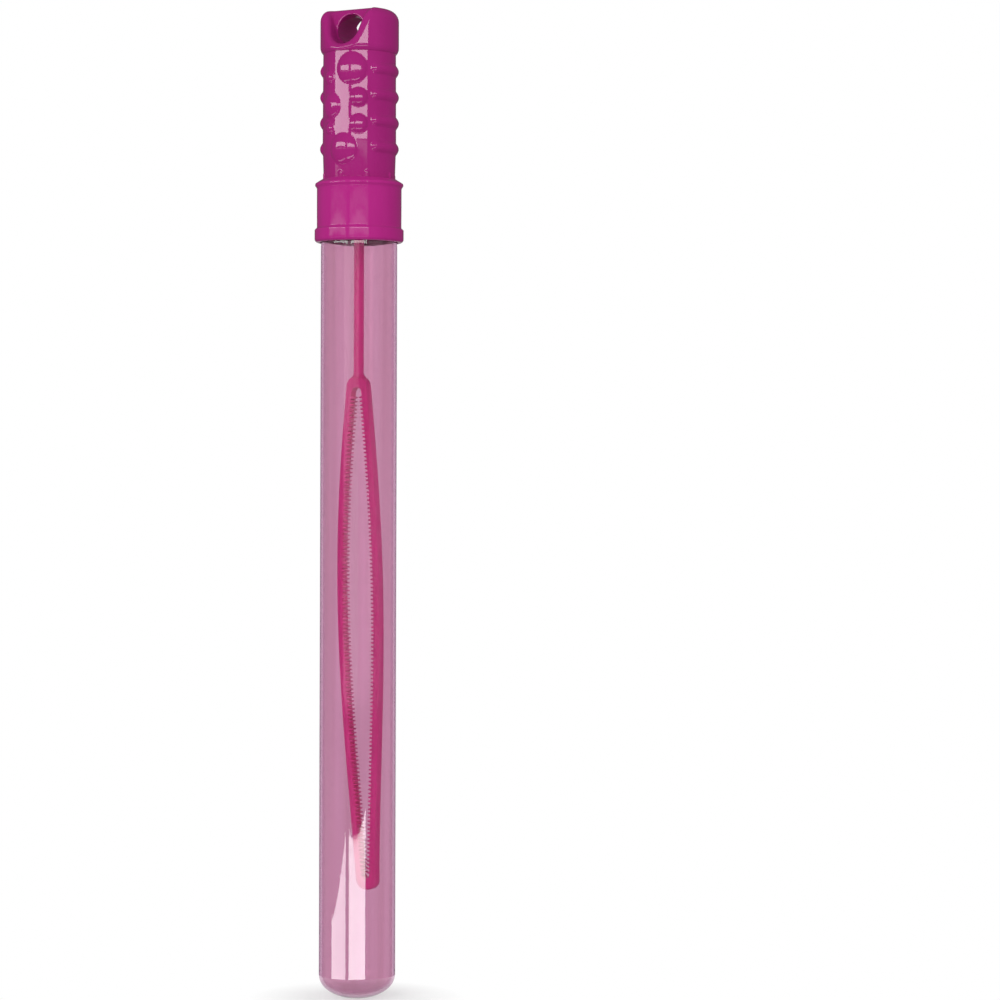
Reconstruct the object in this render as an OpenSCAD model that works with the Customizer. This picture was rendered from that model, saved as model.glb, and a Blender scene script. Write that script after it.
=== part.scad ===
// Bubble wand: a clear tube for bubble solution, closed by a screw cap that is also the handle.
// A long toothed loop hangs from the cap into the tube and is drawn out to blow bubbles.
// Millimetres. +Z runs up the tube, and the origin is the lowest point of its rounded end.
// The hanging eye runs along Y, the finger ribs face +X and -X, and the loop lies in the XZ plane.

/* [Tube] */
// Outside diameter of the tube
tube_d = 28.6; // [26:0.1:32]
// Height of the shoulder under the collar
tube_l = 282.6; // [275:0.2:320]
// Wall of the tube
tube_wall = 1; // [0.8:0.1:1.3]
// Height of the rounded end
dome_h = 9.5; // [6:0.1:13]

/* [Neck and thread] */
// Step from the tube in to the neck
shoulder_step = 1; // [0.8:0.05:1.4]
// Height of the neck above the shoulder
neck_h = 19.4; // [18:0.2:24]
// Wall of the neck
neck_wall = 1.3; // [1.1:0.05:1.6]
// Rise of the thread in one turn
thread_lead = 3; // [2.8:0.1:4]
// Height of the thread above the neck
thread_proud = 0.9; // [0.7:0.05:1.1]
// Width of a thread flight at its foot
thread_w = 1.4; // [1:0.05:1.5]
// Depth of the thread's first flight below the lip
thread_drop = 9; // [8.5:0.1:10]
// Angle that each flight of the interrupted thread covers
flight_sweep = 72; // [50:1:80]

/* [Collar] */
// Wall of the collar around the thread
collar_wall = 1.35; // [1.1:0.05:2]
// Roof of the collar above the sealing washer
collar_roof = 3.1; // [2:0.1:5]
// Bead around the collar's top edge, beyond its wall
bead_proud = 0.7; // [0.4:0.05:1.2]
// Height of that bead
bead_h = 2.6; // [1.6:0.1:4]
// Band around the collar's foot, beyond its wall
band_proud = 0.85; // [0.4:0.05:1.4]
// Height of that band
band_h = 5.4; // [3:0.1:8]
// Rounding of the bead and of the band's lower edge
collar_round = 0.9; // [0.4:0.05:1]

/* [Grip] */
// Length of the grip between the collar and the head
grip_h = 47.6; // [40:0.2:60]
// Wall of the hollow grip
grip_wall = 1.6; // [1.3:0.05:2.2]
// Draft of the grip's foot, in to the collar
grip_draft = 0.3; // [0.1:0.05:0.6]
// Finger ribs on each side
rib_count = 4; // [3:1:5]
// Height of the lowest rib above the collar
rib_foot = 11.8; // [9:0.1:14]
// Distance of the highest rib below the head
rib_top = 6.7; // [4:0.1:9]
// Height of a rib above the grip
rib_proud = 1; // [0.6:0.05:1.2]
// Half height of a rib where it meets the grip
rib_half = 1.5; // [1.1:0.05:2]
// Angle around the grip that a rib covers
rib_sweep = 80; // [50:1:90]
// Gusset fins around the grip's foot
fin_count = 8; // [6:1:12]
// Height of a fin
fin_h = 3; // [2:0.1:5]
// Width of a fin
fin_w = 1; // [0.7:0.05:1.4]
// Height of the raised bubbles above the grip
bubble_proud = 1.1; // [0.7:0.05:1.4]
// Height of the upright rim around a bubble
bubble_rim = 0.25; // [0.15:0.05:0.4]

/* [Head] */
// Step from the grip out to the head
head_step = 1.1; // [0.8:0.05:2]
// Slant of the head's two flat faces from upright
head_slant = 15; // [10:0.5:18]
// Rounding between the head's slanted faces and its top
head_round = 6.4; // [4:0.1:7]
// Rounding of the head's upper corners
corner_round = 4.4; // [2.5:0.1:5]
// Rounding of the head's lower edge
lip_round = 0.9; // [0.4:0.05:1]
// Wall of the head around its hollow
head_wall = 2; // [1.6:0.05:2.4]
// Diameter of the hanging eye
eye_d = 11.4; // [10:0.1:12]
// Height of the eye above the head's lower edge
eye_sill = 2.5; // [2.2:0.1:3.2]
// Bridge over the eye
eye_bridge = 2.1; // [1.6:0.1:3]
// Thickness of the web that the eye runs through
eye_web = 13; // [10:0.5:16]
// Rounding of that web's upper edges
web_round = 2; // [1:0.1:3]
// Step from the eye out to the notches before and behind the web
notch_step = 0.5; // [0.3:0.05:0.8]
// Flare of a notch's sides from upright
notch_flare = 12; // [6:1:15]
// Wall between a notch and the head's hollow
notch_wall = 1.8; // [1.4:0.1:2]

/* [Stem socket] */
// Wall of the socket that holds the stem
socket_wall = 0.95; // [0.8:0.05:1.4]
// Height of the socket's mouth above the collar's foot
socket_rise = 1; // [0.5:0.1:4]
// Depth to which the stem is pushed in
plug_depth = 24; // [18:0.5:28]
// Thickness of the cross webs that carry the socket
web_t = 1.2; // [0.9:0.05:1.6]
// Height of the webs' lower edge above the roof of the collar
web_rise = 1; // [0.5:0.1:3]

/* [Wand] */
// Diameter of the stem
stem_d = 3.8; // [3.2:0.05:4.4]
// Length of the stem between the socket and the loop
stem_l = 51; // [40:0.5:60]
// Length of the loop
loop_l = 192; // [160:1:200]
// Width of the loop at its widest
loop_w = 18.2; // [15:0.1:19]
// Width of the loop at its ends
loop_end_w = 8; // [7.4:0.1:9]
// Skew of the loop's widest point, where 1 sets it halfway up
loop_belly = 1.225; // [1:0.005:1.4]
// Sideways bow of the loop at its tip
loop_bow = 4.8; // [0:0.1:5]
// Width of the loop's bars, without the teeth
bar_w = 2.5; // [2:0.05:2.7]
// Thickness of the loop, front to back
bar_t = 4; // [3.6:0.05:5]
// Thickness of the bars across the loop's two ends
end_bar = 4.4; // [3:0.1:6]
// Rounding of the loop's outer corners
loop_round = 3.4; // [2:0.1:3.6]
// Spacing of the teeth that hold the film of solution
tooth_pitch = 1.48; // [1.2:0.01:2.4]
// Depth of a tooth
tooth_depth = 0.65; // [0.4:0.05:0.8]

/* [Washer] */
// Thickness of the sealing washer
washer_t = 1.2; // [0.8:0.1:2]

/* [Fits] */
// Gap between the collar's foot and the tube's shoulder
collar_gap = 0.4; // [0.2:0.05:1]
// Radial gap between the thread's crests and the walls they face
thread_gap = 0.3; // [0.2:0.05:0.4]
// Gap between the washer and the collar's roof
seal_gap = 0.1; // [0.05:0.01:0.2]
// Radial gap around the washer
washer_gap = 0.3; // [0.2:0.05:0.4]
// Radial gap of the stem in its socket
stem_gap = 0.05; // [0.02:0.01:0.08]
// Gap above the stem's end in its socket
plug_gap = 2; // [0.5:0.1:4]

/* [Hidden] */
$fn = 96;

// Radii, from the tube's outside inwards and out again
tube_r = tube_d / 2;
bore_r = tube_r - tube_wall;
neck_r = tube_r - shoulder_step;
mouth_r = neck_r - neck_wall;
crest_r = neck_r + thread_proud;
collar_bore_r = crest_r + thread_gap;
collar_r = collar_bore_r + collar_wall;
bead_r = collar_r + bead_proud;
band_r = collar_r + band_proud;
grip_r = mouth_r + grip_wall;
foot_r = grip_r - grip_draft;
head_r = grip_r + head_step;
eye_r = eye_d / 2;
stem_r = stem_d / 2;
socket_bore_r = stem_r + stem_gap;
socket_r = socket_bore_r + socket_wall;

// Heights, from the tube's shoulder upwards
lip_z = tube_l + neck_h;
collar_z = tube_l + collar_gap;
roof_z = lip_z + washer_t + seal_gap;
collar_top_z = roof_z + collar_roof;
head_z = collar_top_z + grip_h;
head_h = eye_sill + eye_d + eye_bridge;
top_z = head_z + head_h;
eye_z = head_z + eye_sill + eye_r;
// Length of a block or a cut that runs right across the head
across = 3 * head_r;
thread_z = lip_z - thread_drop;
first_rib_z = collar_top_z + rib_foot;
rib_pitch = (grip_h - rib_foot - rib_top) / (rib_count - 1);

// Heights of the wand, from the socket's mouth downwards
socket_z = collar_z + socket_rise;
plug_z = socket_z + plug_depth;
loop_top_z = socket_z - stem_l;
loop_z = loop_top_z - loop_l;
slot_z = loop_z + end_bar;
slot_l = loop_l - 2 * end_bar;

// Raised bubbles on one face of the grip: angle from the face's centre, height in rib steps, radius
BUBBLES = [
    [-30, 2.70, 2.6],
    [14, 2.98, 5.1],
    [-20, 1.68, 4.3],
    [25, 1.87, 3.1],
    [-28, 0.75, 2.2],
    [25, 0.86, 3.1],
    [-1, -0.10, 5.4],
];

// Counts and steps that only set how finely curves are drawn
ARC_STEPS = 8;
DOME_STEPS = 14;
EDGE_STEPS = 40;
// Depth by which joined shapes run into each other, and by which cuts run past a face
SINK = 0.4;
// Flights of the thread in one turn, on the neck and in the collar
FLIGHTS = 4;
// Width of a flight's crest as a share of its foot
CREST_SHARE = 0.6;
// One tooth of the loop: share of the pitch, share of the depth
TOOTH = [[0, 0], [0.2, 1], [0.5, 1], [0.7, 0]];

// Points of an arc around a centre, from one angle to another
function arc(x, y, r, from, to, steps = ARC_STEPS) =
    [for (i = [0 : steps]) let (a = from + (to - from) * i / steps) [x + r * cos(a), y + r * sin(a)]];

// Half of an elliptical dome, from its lowest point up to its rim at height rim_z
function dome(r, h, rim_z) =
    [for (i = [0 : DOME_STEPS]) let (a = 90 * i / DOME_STEPS) [r * sin(a), rim_z - h * cos(a)]];

// One turn of a right-hand thread, cut into flights. Each is a flat ring piece tilted to the lead.
module thread(from_r, to_r, z, count) {
    crest_w = thread_w * CREST_SHARE;
    lead_angle = atan(thread_lead / (2 * PI * neck_r));
    for (i = [0 : count - 1])
        translate([0, 0, z + thread_lead * i / FLIGHTS])
            rotate([0, 0, 360 * i / FLIGHTS])
                rotate([lead_angle, 0, -flight_sweep / 2])
                    rotate_extrude(angle = flight_sweep)
                        polygon([
                            [from_r, -thread_w / 2],
                            [to_r, -crest_w / 2],
                            [to_r, crest_w / 2],
                            [from_r, thread_w / 2],
                        ]);
}

// Clear tube with a rounded end, a stepped neck and a right-hand thread
module tube() {
    color([0.83, 0.62, 0.83, 0.45]) {
        rotate_extrude()
            polygon(concat(
                dome(tube_r, dome_h, dome_h),
                [[tube_r, tube_l], [neck_r, tube_l], [neck_r, lip_z], [mouth_r, lip_z]],
                [[mouth_r, tube_l - SINK], [bore_r, tube_l - SINK - shoulder_step]],
                [for (p = [DOME_STEPS : -1 : 0]) dome(bore_r, dome_h - tube_wall, dome_h)[p]]
            ));
        thread(neck_r - SINK, crest_r, thread_z, FLIGHTS + 1);
    }
}

// Loose liner between the tube's lip and the collar's roof
module sealing_washer() {
    color("whitesmoke")
        translate([0, 0, lip_z])
            difference() {
                cylinder(r = collar_bore_r - washer_gap, h = washer_t);
                translate([0, 0, -SINK])
                    cylinder(r = mouth_r, h = washer_t + 2 * SINK);
            }
}

// Sideways bow of the loop's middle line at height z
function bow(z) = loop_bow * pow((loop_top_z - z) / loop_l, 2);

// Half width of the loop's outer edge at height z, before its ends are rounded
function loop_half(z) =
    let (t = min(1, max(0, (z - loop_z) / loop_l)))
    loop_end_w / 2 + (loop_w - loop_end_w) / 2 * sin(180 * pow(t, loop_belly));

// How far an edge is drawn in at distance d from the end of its outline, for a corner of radius r
function draw_in(d, r) = d >= r ? 0 : r - sqrt(max(0, r * r - pow(r - d, 2)));

// Heights along an outline of length l, close together at both ends
function spread(z, l, steps) = [for (i = [0 : steps]) z + l * (1 - cos(180 * i / steps)) / 2];

// Closed outline from heights and half widths, with its middle line bowed
function outline(zs, halves) = concat(
    [for (i = [0 : len(zs) - 1]) [bow(zs[i]) + halves[i], zs[i]]],
    [for (i = [len(zs) - 1 : -1 : 0]) [bow(zs[i]) - halves[i], zs[i]]]
);

// Outer edge of the loop
module loop_edge() {
    zs = spread(loop_z, loop_l, EDGE_STEPS * 2);
    halves = [for (z = zs)
        loop_half(z) - draw_in(min(z - loop_z, loop_top_z - z), loop_round)];
    polygon(outline(zs, halves));
}

// Inner edge of the loop, a long slot with a rack of teeth along both sides
module loop_slot() {
    round = loop_end_w / 2 - bar_w;
    teeth = floor((slot_l - 2 * round) / tooth_pitch);
    rack_z = slot_z + (slot_l - teeth * tooth_pitch) / 2;
    ends = spread(slot_z, 2 * round, ARC_STEPS * 2);
    low = [for (i = [0 : ARC_STEPS]) ends[i]];
    high = [for (z = low) 2 * slot_z + slot_l - z];
    rack = [for (i = [0 : teeth - 1], s = TOOTH) [rack_z + (i + s[0]) * tooth_pitch, s[1] * tooth_depth]];
    zs = concat(low, [for (p = rack) p[0]], [for (i = [ARC_STEPS : -1 : 0]) high[i]]);
    cuts = concat(
        [for (z = low) draw_in(z - slot_z, round)],
        [for (p = rack) p[1]],
        [for (i = [ARC_STEPS : -1 : 0]) draw_in(low[i] - slot_z, round)]
    );
    halves = [for (i = [0 : len(zs) - 1]) loop_half(zs[i]) - bar_w - cuts[i]];
    polygon(outline(zs, halves));
}

// Dipping wand: a round stem and a flat toothed loop
module wand() {
    color([0.62, 0.13, 0.52]) {
        rotate([90, 0, 0])
            linear_extrude(bar_t, center = true)
                difference() {
                    loop_edge();
                    loop_slot();
                }
        translate([0, 0, loop_top_z - end_bar / 2])
            cylinder(r = stem_r, h = plug_z - loop_top_z + end_bar / 2);
    }
}

// Outline of the collar and grip, turned around the axis. The head is a shape of its own.
module collar_profile() {
    step_z = collar_z + band_h;
    bead_z = collar_top_z - bead_h / 2;
    polygon(concat(
        [[0, collar_z]],
        arc(band_r - collar_round, collar_z + collar_round, collar_round, -90, 0),
        [[band_r, step_z - band_proud], [collar_r, step_z], [collar_r, bead_z - bead_h / 2]],
        arc(bead_r - collar_round, bead_z, collar_round, -60, 90),
        [[foot_r, collar_top_z], [grip_r, first_rib_z], [grip_r, head_z + SINK], [0, head_z + SINK]]
    ));
}

// Half thickness of the head between its two slanted faces, at height z, inside a wall
function face_y(z, wall) = head_r - (z - head_z) * tan(head_slant) - wall / cos(head_slant);

// Head seen along X: two slanted faces with rounded upper edges
module head_side(wall) {
    roof = top_z - wall;
    round = max(head_round - wall, SINK);
    y = face_y(roof - round, wall) - round / cos(head_slant);
    right = concat(
        [[face_y(head_z, wall), head_z - wall]],
        [[face_y(head_z, wall), head_z]],
        arc(y, roof - round, round, head_slant, 90)
    );
    polygon(concat(right, [for (i = [len(right) - 1 : -1 : 0]) [-right[i][0], right[i][1]]]));
}

// The same side view as a block, as wide as the head
module head_block(wall) {
    rotate([90, 0, 90])
        linear_extrude(across, center = true)
            head_side(wall);
}

// Round blank of the head, with a rounded lip below and rounded upper corners
module head_blank() {
    rotate_extrude()
        polygon(concat(
            [[0, head_z]],
            arc(head_r - lip_round, head_z + lip_round, lip_round, -90, 0),
            arc(head_r - corner_round, top_z - corner_round, corner_round, 0, 90),
            [[0, top_z]]
        ));
}

// Outline of a notch seen along Y, grown by a wall: round below, flared and open above
module notch_outline(wall) {
    r = eye_r + notch_step + wall;
    open_z = top_z + SINK;
    open_x = (r + (open_z - eye_z) * sin(notch_flare)) / cos(notch_flare);
    polygon(concat(
        [[open_x, open_z]],
        arc(0, eye_z, r, -notch_flare, notch_flare - 180, 2 * ARC_STEPS),
        [[-open_x, open_z]]
    ));
}

// The same outline as a block that runs right across the head
module notch_block(wall) {
    rotate([90, 0, 0])
        linear_extrude(across, center = true)
            notch_outline(wall);
}

// Both notches: the block without the web that stays between them
module eye_notches() {
    right = concat(
        [[eye_web / 2, head_z]],
        arc(eye_web / 2 - web_round, top_z - web_round, web_round, 0, 90)
    );
    difference() {
        notch_block(0);
        rotate([90, 0, 90])
            linear_extrude(across, center = true)
                polygon(concat(right, [for (i = [len(right) - 1 : -1 : 0]) [-right[i][0], right[i][1]]]));
    }
}

// Raised bubble: a low dome standing on the grip at an angle around it
module bubble(angle, z, r) {
    rise = bubble_proud - bubble_rim;
    dome_r = (r * r + rise * rise) / (2 * rise);
    depth = grip_wall + bubble_proud + SINK;
    translate([0, 0, z])
        rotate([0, 0, angle])
            rotate([0, 90, 0])
                translate([0, 0, grip_r + bubble_proud - dome_r])
                    intersection() {
                        sphere(r = dome_r);
                        translate([0, 0, dome_r - depth])
                            cylinder(r = r, h = depth);
                    }
}

// Finger ribs on both sides of the grip
module finger_ribs() {
    rib_r = (rib_half * rib_half + rib_proud * rib_proud) / (2 * rib_proud);
    for (side = [0, 180], i = [0 : rib_count - 1])
        translate([0, 0, first_rib_z + i * rib_pitch])
            rotate([0, 0, side - rib_sweep / 2])
                rotate_extrude(angle = rib_sweep)
                    intersection() {
                        translate([grip_r + rib_proud - rib_r, 0])
                            circle(r = rib_r);
                        translate([grip_r - SINK, -rib_half])
                            square([rib_proud + SINK, 2 * rib_half]);
                    }
}

// Small gussets between the grip's foot and the collar's roof
module foot_fins() {
    for (i = [0 : fin_count - 1])
        rotate([0, 0, 360 * i / fin_count])
            translate([foot_r - SINK, -fin_w / 2, collar_top_z - SINK])
                cube([SINK + grip_draft, fin_w, fin_h + SINK]);
}

// Hollow of the cap: the threaded collar, the grip's core and the pockets beside the notches
module cap_hollow() {
    translate([0, 0, collar_z - SINK])
        cylinder(r = collar_bore_r, h = roof_z - collar_z + SINK);
    translate([0, 0, roof_z - SINK])
        cylinder(r = mouth_r, h = head_z - roof_z - head_wall + SINK);
    difference() {
        intersection() {
            translate([0, 0, head_z - 2 * head_wall])
                cylinder(r = mouth_r, h = top_z - head_z + head_wall);
            head_block(head_wall);
        }
        notch_block(notch_wall);
    }
}

// Socket for the stem, with the two crossed webs that carry it inside the grip
module stem_socket() {
    web_z = roof_z + web_rise;
    web_h = eye_z - eye_r - notch_step - notch_wall / 2 - web_z;
    translate([0, 0, socket_z])
        cylinder(r = socket_r, h = plug_depth + plug_gap + 2 * socket_wall);
    for (turn = [0, 90])
        rotate([0, 0, turn])
            translate([-mouth_r - SINK, -web_t / 2, web_z])
                cube([2 * (mouth_r + SINK), web_t, web_h]);
}

// Screw cap and handle in one moulding: collar, ribbed grip, head with its hanging eye, stem socket
module handle_cap() {
    color([0.66, 0.11, 0.50])
        difference() {
            union() {
                difference() {
                    union() {
                        rotate_extrude() collar_profile();
                        intersection() {
                            head_blank();
                            head_block(0);
                        }
                        finger_ribs();
                        foot_fins();
                        for (face = [-90, 90], b = BUBBLES)
                            bubble(face + b[0], first_rib_z + b[1] * rib_pitch, b[2]);
                    }
                    cap_hollow();
                }
                thread(collar_bore_r + SINK, neck_r + thread_gap, thread_z - thread_lead / 2, FLIGHTS);
                stem_socket();
            }
            translate([0, 0, socket_z - SINK])
                cylinder(r = socket_bore_r, h = plug_depth + plug_gap + SINK);
            eye_notches();
            translate([0, 0, eye_z])
                rotate([90, 0, 0])
                    cylinder(r = eye_r, h = across, center = true);
        }
}

tube();
sealing_washer();
wand();
handle_cap();
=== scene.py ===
"""Bubble wand: the looks of the part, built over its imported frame.

A clear round-ended tube, a sealing washer, a toothed dipping wand and a screw cap with a ribbed grip are
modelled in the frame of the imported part, given procedural finishes and lit as in a product studio.
All sizes are in millimetres, and MM turns them into the frame's metres.
"""
from __future__ import annotations

import logging
import math
from contextlib import contextmanager
from dataclasses import dataclass, field
from enum import Enum
from typing import Callable, Iterator, Sequence

import bmesh
import bpy
import numpy as np
from mathutils import Matrix, Vector


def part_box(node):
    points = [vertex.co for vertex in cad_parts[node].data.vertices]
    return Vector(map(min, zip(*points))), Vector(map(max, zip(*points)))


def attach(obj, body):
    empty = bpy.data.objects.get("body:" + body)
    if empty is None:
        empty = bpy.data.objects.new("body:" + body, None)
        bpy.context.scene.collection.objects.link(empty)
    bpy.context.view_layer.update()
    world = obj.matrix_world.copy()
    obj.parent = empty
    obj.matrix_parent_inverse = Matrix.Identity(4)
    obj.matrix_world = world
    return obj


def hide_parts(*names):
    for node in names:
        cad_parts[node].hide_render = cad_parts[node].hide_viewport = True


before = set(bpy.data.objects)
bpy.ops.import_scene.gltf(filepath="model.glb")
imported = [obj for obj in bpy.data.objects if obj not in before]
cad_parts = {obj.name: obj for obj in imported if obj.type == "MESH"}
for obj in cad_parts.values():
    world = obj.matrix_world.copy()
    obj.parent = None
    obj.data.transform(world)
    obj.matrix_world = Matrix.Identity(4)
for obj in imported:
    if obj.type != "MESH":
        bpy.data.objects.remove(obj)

LOG = logging.getLogger("bubble_wand")
MM = 0.001
SAME_WALL = 0.02
MERGE_GAP = 0.0005
PLASTIC_IOR = 1.5

Point = tuple[float, float]
Span = tuple[float, float]
Colour = tuple[float, float, float]
Piece = bpy.types.Object
Socket = bpy.types.NodeSocket
Finish = bpy.types.Material


class Body(Enum):
    """Bodies of the frame that pieces ride on."""

    TUBE = "tube"
    WASHER = "washer"
    WAND = "wand"
    CAP = "cap"


class Slot(Enum):
    """Material slots of the record."""

    CLEAR_TUBE = "clear_tube"
    WASHER_FOAM = "washer_foam"
    WAND_PLASTIC = "wand_plastic"
    CAP_PLASTIC = "cap_plastic"


class Domain(Enum):
    """Kinds of mesh element that can be picked in edit mode."""

    VERT = "VERT"
    EDGE = "EDGE"
    FACE = "FACE"


def arc(centre: Point, radius: float, start: float, end: float, steps: int) -> list[Point]:
    """Points along an arc of an outline.

    Args:
        centre: Radius and height of the arc's centre.
        radius: The arc's radius.
        start: First angle in degrees, 0 pointing outwards and 90 upwards.
        end: Last angle in degrees.
        steps: Number of spans.

    Returns:
        The points from start to end.
    """
    angles = [math.radians(start + (end - start) * i / steps) for i in range(steps + 1)]
    return [(centre[0] + radius * math.cos(a), centre[1] + radius * math.sin(a)) for a in angles]


def rounded_cut(a: np.ndarray, b: np.ndarray, radius: float | np.ndarray) -> np.ndarray:
    """Keep what lies inside both of two distance fields, with a rounded edge between them.

    Args:
        a: First signed distance, negative inside.
        b: Second signed distance, negative inside.
        radius: Radius of the edge.

    Returns:
        The joint signed distance.
    """
    u = np.maximum(a + radius, 0.0)
    v = np.maximum(b + radius, 0.0)
    return np.minimum(np.maximum(a, b), -radius) + np.hypot(u, v)


def turn_between(angle: np.ndarray, centre: float) -> np.ndarray:
    """Signed angle in degrees from a centre direction, between -180 and 180."""
    return (angle - centre + 180.0) % 360.0 - 180.0


class Workbench:
    """Modelling moves that the sub-assemblies share."""

    @staticmethod
    def clear() -> None:
        """Leave edit mode and deselect every object."""
        if bpy.context.mode != "OBJECT":
            bpy.ops.object.mode_set(mode="OBJECT")
        bpy.ops.object.select_all(action="DESELECT")

    @staticmethod
    def take(piece: Piece) -> None:
        """Make a piece the only selected and the active one.

        Args:
            piece: The piece.
        """
        Workbench.clear()
        piece.select_set(True)
        bpy.context.view_layer.objects.active = piece

    @staticmethod
    def settle(name: str) -> Piece:
        """Name the primitive that was just added and set its place into its mesh.

        Args:
            name: Name of the piece.

        Returns:
            The piece.
        """
        piece = bpy.context.object
        piece.name = name
        piece.data.name = name
        bpy.ops.object.transform_apply(location=True, rotation=True, scale=True)
        return piece

    @staticmethod
    @contextmanager
    def editing(piece: Piece) -> Iterator[None]:
        """Keep a piece in edit mode for the length of a with block.

        Args:
            piece: The piece.

        Yields:
            Nothing.
        """
        Workbench.take(piece)
        bpy.ops.object.mode_set(mode="EDIT")
        bpy.ops.mesh.select_mode(type=Domain.VERT.value)
        yield
        bpy.ops.object.mode_set(mode="OBJECT")

    @staticmethod
    def pick(piece: Piece, domain: Domain, test: Callable[..., bool]) -> None:
        """Select, in edit mode, the elements that pass a test and nothing else.

        Args:
            piece: The piece in edit mode.
            domain: Kind of element.
            test: Says whether an element is wanted.
        """
        bpy.ops.mesh.select_mode(type=domain.value)
        bpy.ops.mesh.select_all(action="DESELECT")
        mesh = bmesh.from_edit_mesh(piece.data)
        elements = {Domain.VERT: mesh.verts, Domain.EDGE: mesh.edges, Domain.FACE: mesh.faces}[domain]
        for element in elements:
            if test(element):
                element.select_set(True)
        bmesh.update_edit_mesh(piece.data)

    @staticmethod
    def mend(piece: Piece) -> None:
        """Merge doubled points and turn every face outwards.

        Args:
            piece: The piece.
        """
        with Workbench.editing(piece):
            bpy.ops.mesh.select_all(action="SELECT")
            bpy.ops.mesh.remove_doubles(threshold=MERGE_GAP * MM)
            bpy.ops.mesh.normals_make_consistent(inside=False)

    @staticmethod
    def apply(piece: Piece, kind: str, **settings: object) -> None:
        """Add a modifier to a piece and apply it at once.

        Args:
            piece: The piece.
            kind: The modifier's type.
            settings: Its settings.
        """
        Workbench.take(piece)
        modifier = piece.modifiers.new(kind.title(), kind)
        for key, value in settings.items():
            setattr(modifier, key, value)
        bpy.ops.object.modifier_apply(modifier=modifier.name)

    @staticmethod
    def bevel(piece: Piece, width: float, segments: int, angle: float) -> None:
        """Round the edges of a piece that are sharper than an angle in degrees."""
        Workbench.apply(piece, "BEVEL", width=width * MM, segments=segments, limit_method="ANGLE",
                        angle_limit=math.radians(angle))

    @staticmethod
    def cut(piece: Piece, tool: Piece) -> None:
        """Cut one piece out of another and throw the tool away."""
        Workbench.apply(piece, "BOOLEAN", operation="DIFFERENCE", solver="EXACT", object=tool)
        bpy.data.objects.remove(tool, do_unlink=True)

    @staticmethod
    def join(pieces: Sequence[Piece]) -> Piece:
        """Join pieces into the first one.

        Args:
            pieces: The pieces, first the one that stays.

        Returns:
            The joined piece.
        """
        Workbench.take(pieces[0])
        for piece in pieces[1:]:
            piece.select_set(True)
        bpy.ops.object.join()
        return pieces[0]

    @staticmethod
    def shade(piece: Piece, angle: float | None = None) -> None:
        """Shade a piece smooth.

        Args:
            piece: The piece.
            angle: Edges sharper than this many degrees stay crisp; None smooths them all.
        """
        Workbench.take(piece)
        if angle is None:
            bpy.ops.object.shade_smooth()
        else:
            bpy.ops.object.shade_smooth_by_angle(angle=math.radians(angle))

    @staticmethod
    def points(piece: Piece) -> np.ndarray:
        """The piece's points in millimetres, one row each."""
        return np.array([vertex.co[:] for vertex in piece.data.vertices]) / MM

    @staticmethod
    def reshape(piece: Piece, points: np.ndarray) -> None:
        """Move the piece's points to new places given in millimetres."""
        piece.data.vertices.foreach_set("co", (points * MM).ravel())
        piece.data.update()

    @staticmethod
    def reskin(piece: Piece, skin: Callable[..., np.ndarray]) -> None:
        """Move every point of a piece to a new distance from the Z axis.

        Args:
            piece: The piece.
            skin: Gives the new distances from the old ones, the directions in degrees and the heights.
        """
        points = Workbench.points(piece)
        radius = np.hypot(points[:, 0], points[:, 1])
        angle = np.degrees(np.arctan2(points[:, 1], points[:, 0]))
        points[:, :2] *= (skin(radius, angle, points[:, 2]) / radius)[:, None]
        Workbench.reshape(piece, points)

    @staticmethod
    def held(outline: Sequence[Point], reach: float = 0.3) -> list[Point]:
        """Add a point close to both ends of every long span, so that the span shades straight.

        Args:
            outline: Radius and height of each point.
            reach: Distance of the added points from the ends.

        Returns:
            The outline with the added points.
        """
        points = [outline[0]]
        for (r0, z0), (r1, z1) in zip(outline, outline[1:]):
            span = math.hypot(r1 - r0, z1 - z0)
            if span > 4 * reach:
                for share in (reach / span, 1 - reach / span):
                    points.append((r0 + (r1 - r0) * share, z0 + (z1 - z0) * share))
            points.append((r1, z1))
        return points

    @staticmethod
    def turn(name: str, outline: Sequence[Point], segments: int = 128, ring: bool = False) -> Piece:
        """Turn an outline about the Z axis by extruding a circle from point to point.

        Args:
            name: Name of the new piece.
            outline: Radius and height of each point.
            segments: Corners of the circle.
            ring: True if the outline runs back to its first point; else both its ends are closed.

        Returns:
            The turned solid.
        """
        outline = Workbench.held([*outline, outline[0]] if ring else outline)
        radius, height = outline[0]
        Workbench.clear()
        bpy.ops.mesh.primitive_circle_add(vertices=segments, radius=radius * MM,
                                          location=(0, 0, height * MM))
        piece = Workbench.settle(name)
        with Workbench.editing(piece):
            bpy.ops.mesh.select_all(action="SELECT")
            for next_radius, next_height in outline[1:]:
                rise = (0, 0, (next_height - height) * MM)
                grow = next_radius / radius
                bpy.ops.mesh.extrude_region_move(TRANSFORM_OT_translate={"value": rise})
                bpy.ops.transform.resize(value=(grow, grow, 1), center_override=(0, 0, next_height * MM))
                radius, height = next_radius, next_height
            if not ring:
                bpy.ops.mesh.select_all(action="DESELECT")
                bpy.ops.mesh.select_non_manifold(extend=False)
                bpy.ops.mesh.fill_holes(sides=0)
        Workbench.mend(piece)
        return piece

    @staticmethod
    def block(name: str, low: Sequence[float], high: Sequence[float]) -> Piece:
        """Add a box between two corners.

        Args:
            name: Name of the new piece.
            low: Lowest corner.
            high: Highest corner.

        Returns:
            The box.
        """
        Workbench.clear()
        middle = [(a + b) / 2 * MM for a, b in zip(low, high)]
        spans = [(b - a) * MM for a, b in zip(low, high)]
        bpy.ops.mesh.primitive_cube_add(size=1, location=middle, scale=spans)
        return Workbench.settle(name)

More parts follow.
